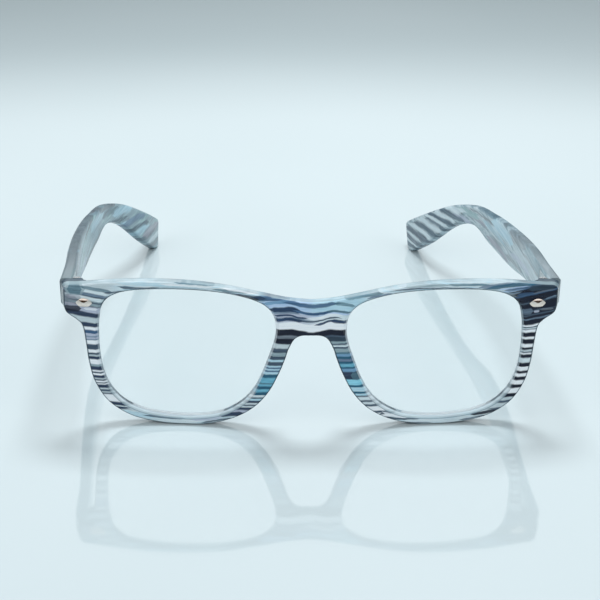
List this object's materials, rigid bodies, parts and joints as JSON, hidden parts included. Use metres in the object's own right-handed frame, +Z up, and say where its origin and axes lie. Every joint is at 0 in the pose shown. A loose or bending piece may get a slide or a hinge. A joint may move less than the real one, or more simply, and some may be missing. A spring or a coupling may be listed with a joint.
{
  "type": "trapezoid eyeglasses",
  "caption": "Trapezoid plastic eyeglasses with a laminated front, clear lenses, almond rivets and folding temples on barrel hinges.",
  "frame": {"origin": "on the table, under the middle of the open glasses' bounding box", "axes": "+X to the wearer's left, +Y from the front to the ear tips, +Z up"},
  "size_m": [0.149, 0.147, 0.0463],
  "materials": {
    "laminate": "polished striped laminate",
    "lens": "clear, coated",
    "pad_plastic": "polished, translucent",
    "rivet_metal": "polished rose gold plating",
    "hinge_metal": "satin nickel",
    "core_metal": "drawn wire"
  },
  "bodies": {
    "frame_front": {"front": "laminate", "lens_right": "lens", "lens_left": "lens", "nose_pad_right": "pad_plastic", "nose_pad_left": "pad_plastic", "rivet_right": "rivet_metal", "rivet_left": "rivet_metal", "front_hinge_leaf_right": "hinge_metal", "front_hinge_leaf_left": "hinge_metal", "hinge_screw_right": "hinge_metal", "hinge_screw_left": "hinge_metal"},
    "right_temple": {"temple_right": "laminate", "temple_core_right": "core_metal", "temple_hinge_leaf_right": "hinge_metal", "temple_leaf_pins_right": "hinge_metal"},
    "left_temple": {"temple_left": "laminate", "temple_core_left": "core_metal", "temple_hinge_leaf_left": "hinge_metal", "temple_leaf_pins_left": "hinge_metal"}
  },
  "joints": [
    {"name": "right_temple_hinge", "type": "hinge", "parent": "frame_front", "child": "right_temple", "pos_m": [-0.06685, -0.06273, 0.0399], "axis": [0, 0, -1], "range_deg": [0, 85]},
    {"name": "left_temple_hinge", "type": "hinge", "parent": "frame_front", "child": "left_temple", "pos_m": [0.06935, -0.06273, 0.0399], "axis": [0, 0, 1], "range_deg": [-6.4, 70]}
  ]
}
